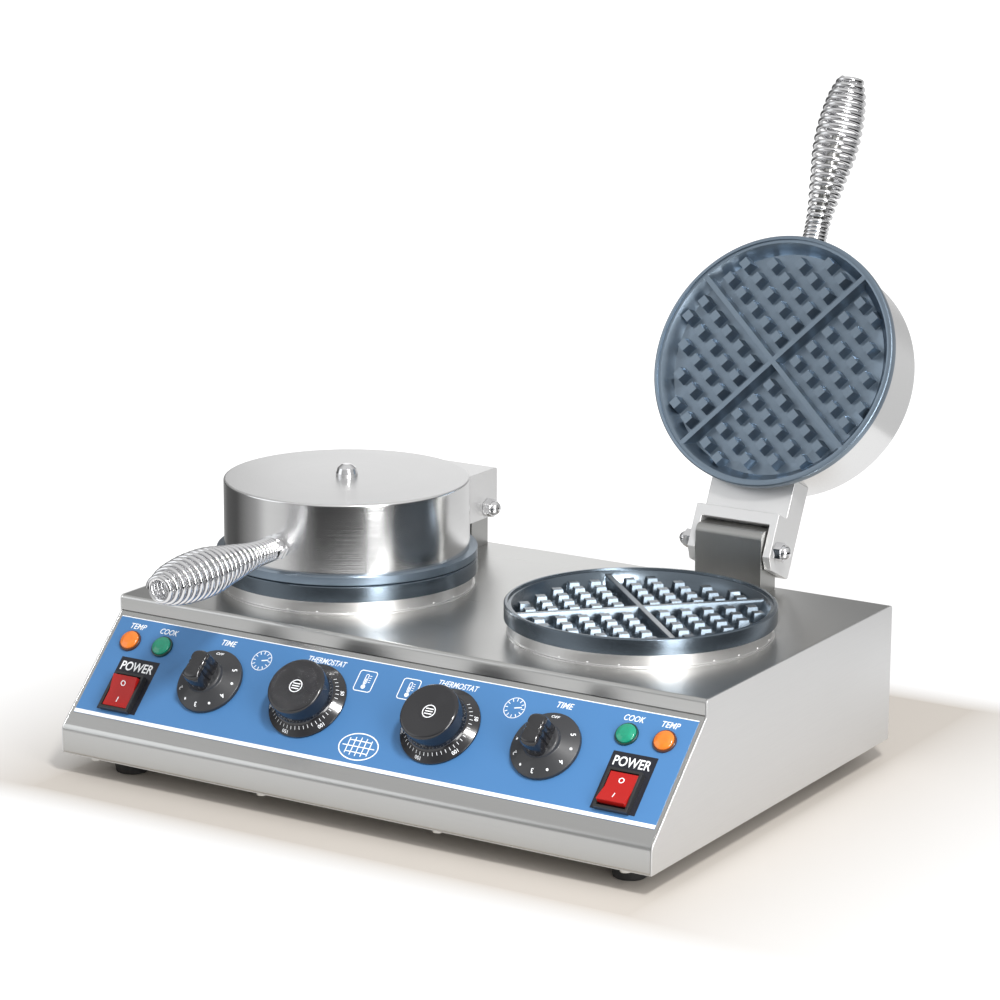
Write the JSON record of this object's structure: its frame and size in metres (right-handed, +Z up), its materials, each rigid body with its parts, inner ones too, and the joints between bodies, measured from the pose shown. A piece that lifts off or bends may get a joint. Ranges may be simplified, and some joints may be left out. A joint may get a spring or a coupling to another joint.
{
  "type": "double waffle baker",
  "caption": "Countertop electric waffle baker with round quartered deep-pocket plates under hinged lids, wire-coil handles, timers, thermostats and rocker switches.",
  "frame": {"origin": "on the standing surface, under the middle of the whole object's box with the right lid open", "axes": "+X to the user's right, +Y from the controls to the hinges, +Z up"},
  "size_m": [0.5, 0.563, 0.4936],
  "materials": {
    "satin_steel": "satin",
    "polished_steel": "gloss",
    "zinc_steel": "satin",
    "overlay_blue": "satin",
    "coated_iron": "satin",
    "cast_silver": "satin",
    "chrome": "polished",
    "black_gloss": "gloss",
    "black_rubber": "matte",
    "black_nylon": "matte",
    "orange_lens": "gloss",
    "green_lens": "gloss",
    "red_rocker": "gloss",
    "white_nylon": "satin"
  },
  "bodies": {
    "base": {"top_deck": "satin_steel", "control_panel": "satin_steel", "panel_overlay": "overlay_blue", "left_side_panel": "satin_steel", "right_side_panel": "satin_steel", "back_panel": "satin_steel", "base_plate": "zinc_steel", "base_screws": "zinc_steel", "feet": "black_rubber", "foot_screws": "zinc_steel", "cord_gland": "black_nylon", "terminal_block": "white_nylon", "left_lower_plate": "coated_iron", "left_lower_skirt": "satin_steel", "left_lower_heater": "zinc_steel", "left_hinge_column": "satin_steel", "left_hinge_pin": "zinc_steel", "left_pin_nuts": "chrome", "left_temp_lamp": "orange_lens", "left_cook_lamp": "green_lens", "left_switch_frame": "black_gloss", "left_timer_body": "black_nylon", "left_thermostat_body": "black_nylon", "right_lower_plate": "coated_iron", "right_lower_skirt": "satin_steel", "right_lower_heater": "zinc_steel", "right_hinge_column": "satin_steel", "right_hinge_pin": "zinc_steel", "right_pin_nuts": "chrome", "right_temp_lamp": "orange_lens", "right_cook_lamp": "green_lens", "right_switch_frame": "black_gloss", "right_timer_body": "black_nylon", "right_thermostat_body": "black_nylon"},
    "left_lid": {"left_upper_plate": "coated_iron", "left_lid_cover": "polished_steel", "left_hinge_bracket": "cast_silver", "left_upper_heater": "zinc_steel", "left_cover_nut": "chrome", "left_handle_rod": "zinc_steel", "left_handle_nut": "chrome", "left_handle_coil": "chrome"},
    "right_lid": {"right_upper_plate": "coated_iron", "right_lid_cover": "polished_steel", "right_hinge_bracket": "cast_silver", "right_upper_heater": "zinc_steel", "right_cover_nut": "chrome", "right_handle_rod": "zinc_steel", "right_handle_nut": "chrome", "right_handle_coil": "chrome"},
    "left_timer": {"left_timer_knob": "black_gloss", "left_timer_shaft": "zinc_steel"},
    "left_thermostat": {"left_thermostat_knob": "black_gloss", "left_thermostat_shaft": "zinc_steel"},
    "left_power": {"left_rocker": "red_rocker"},
    "right_timer": {"right_timer_knob": "black_gloss", "right_timer_shaft": "zinc_steel"},
    "right_thermostat": {"right_thermostat_knob": "black_gloss", "right_thermostat_shaft": "zinc_steel"},
    "right_power": {"right_rocker": "red_rocker"}
  },
  "joints": [
    {"name": "left_lid_hinge", "type": "hinge", "parent": "base", "child": "left_lid", "pos_m": [-0.128, 0.0987, 0.1546], "axis": [-1, 0, 0], "range_deg": [0, 115.7]},
    {"name": "right_lid_hinge", "type": "hinge", "parent": "base", "child": "right_lid", "pos_m": [0.128, 0.0987, 0.1546], "axis": [-1, 0, 0], "range_deg": [-115.7, 0]},
    {"name": "left_timer_turn", "type": "hinge", "parent": "base", "child": "left_timer", "pos_m": [-0.143, -0.20221, 0.08087], "axis": [0, -0.7009, 0.7133], "range_deg": [-300, 0]},
    {"name": "left_thermostat_turn", "type": "hinge", "parent": "base", "child": "left_thermostat", "pos_m": [-0.0565, -0.20221, 0.08087], "axis": [0, -0.7009, 0.7133], "range_deg": [-270, 0]},
    {"name": "left_power_rock", "type": "hinge", "parent": "base", "child": "left_power", "pos_m": [-0.2107, -0.21623, 0.06289], "axis": [1, 0, 0], "range_deg": [-20, 0]},
    {"name": "right_timer_turn", "type": "hinge", "parent": "base", "child": "right_timer", "pos_m": [0.143, -0.20221, 0.08087], "axis": [0, -0.7009, 0.7133], "range_deg": [-300, 0]},
    {"name": "right_thermostat_turn", "type": "hinge", "parent": "base", "child": "right_thermostat", "pos_m": [0.0565, -0.20221, 0.08087], "axis": [0, -0.7009, 0.7133], "range_deg": [-270, 0]},
    {"name": "right_power_rock", "type": "hinge", "parent": "base", "child": "right_power", "pos_m": [0.2107, -0.21623, 0.06289], "axis": [1, 0, 0], "range_deg": [0, 20]}
  ]
}
